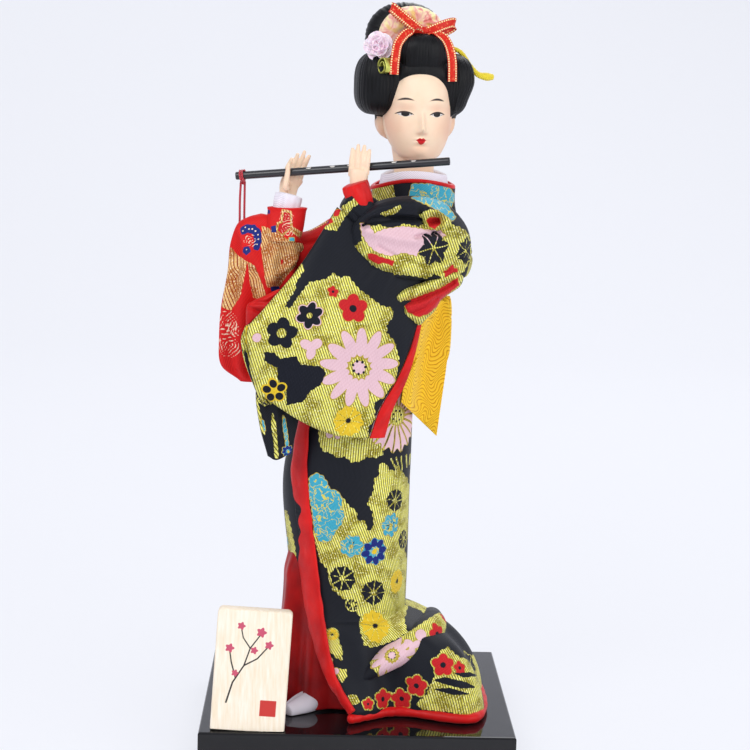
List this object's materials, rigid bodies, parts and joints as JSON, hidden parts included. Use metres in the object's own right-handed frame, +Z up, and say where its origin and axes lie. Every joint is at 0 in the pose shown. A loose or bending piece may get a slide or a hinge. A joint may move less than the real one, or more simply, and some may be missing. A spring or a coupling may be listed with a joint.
{
  "type": "dressed doll",
  "caption": "Standing dressed doll with a dressed wig, kimono, sash and cross flute, on a black plinth with a loose wooden plaque.",
  "frame": {"origin": "centre of the plinth's underside", "axes": "+Z up, -Y the way the face looks, +X to the viewer's right"},
  "size_m": [0.125, 0.104, 0.2998],
  "materials": {
    "black_lacquer": "black lacquer over wood, mirror gloss",
    "screw_steel": "bright zinc-plated steel",
    "pale_wood": "sanded pale wood, unvarnished",
    "dowel_wood": "bare round stick",
    "stuffing": "straw stuffing wound with thread",
    "moulded_skin": "matt painted mouldings with a faint blush",
    "dressed_hair": "fine black fibre, combed and waxed",
    "pink_brocade": "pink and gold brocade",
    "red_ribbon": "red ribbon with gold edges",
    "pale_silk": "pale pink silk",
    "gold_foil": "gold foil ribbon",
    "yellow_floss": "yellow floss on a wire",
    "white_cotton": "white cotton",
    "red_satin": "red satin",
    "black_brocade": "black brocade woven with gold, pink, red and blue flowers",
    "copper_brocade": "red brocade woven with copper gold",
    "yellow_brocade": "yellow brocade with waves in its own colour",
    "black_tube": "glossy black",
    "red_cord": "twisted red cord"
  },
  "bodies": {
    "doll": {"base_board": "black_lacquer", "base_screw_left": "screw_steel", "base_screw_right": "screw_steel", "arm_wire_left": "screw_steel", "arm_wire_right": "screw_steel", "leg_left": "dowel_wood", "leg_right": "dowel_wood", "neck_post": "dowel_wood", "body_core": "stuffing", "hand_left": "moulded_skin", "hand_right": "moulded_skin", "foot_left": "white_cotton", "foot_right": "white_cotton", "white_collar": "white_cotton", "under_cuff_right": "white_cotton", "under_robe": "red_satin", "front_band": "red_satin", "train_hem": "red_satin", "red_collar": "red_satin", "under_cuff_left": "red_satin", "left_sleeve_lining": "red_satin", "right_cuff": "red_satin", "outer_skirt": "black_brocade", "kimono_bodice": "black_brocade", "left_sleeve": "black_brocade", "left_sleeve_fold": "black_brocade", "hanging_sleeve": "black_brocade", "right_sleeve": "copper_brocade", "obi_band": "yellow_brocade", "obi_knot": "yellow_brocade", "obi_tail_left": "yellow_brocade", "obi_tail_right": "yellow_brocade"},
    "head": {"head": "moulded_skin", "wig_cap": "dressed_hair", "back_hair": "dressed_hair", "side_bun_left": "dressed_hair", "side_bun_right": "dressed_hair", "front_roll": "dressed_hair", "bun_cloth": "pink_brocade", "top_bun": "dressed_hair", "ribbon_knot": "red_ribbon", "ribbon_loop_left": "red_ribbon", "ribbon_loop_right": "red_ribbon", "ribbon_tail_left": "red_ribbon", "ribbon_tail_right": "red_ribbon", "hair_flower": "pale_silk", "gold_curl": "gold_foil", "hair_stick": "yellow_floss"},
    "flute": {"flute": "black_tube", "flute_cord_knot": "red_cord", "flute_cord": "red_cord"},
    "plaque": {"plaque": "pale_wood"}
  },
  "joints": [
    {"name": "head_turn", "type": "hinge", "parent": "doll", "child": "head", "pos_m": [0.0174, -0.001, 0.225], "axis": [0, 0, 1], "range_deg": [-20, 20]},
    {"name": "flute_slide", "type": "slide", "parent": "doll", "child": "flute", "axis": [-0.9846, 0.1429, -0.1012], "range_m": [0, 0.07]},
    {"name": "plaque_lift", "type": "slide", "parent": "doll", "child": "plaque", "axis": [0, 0, 1], "range_m": [0, 0.06]}
  ]
}
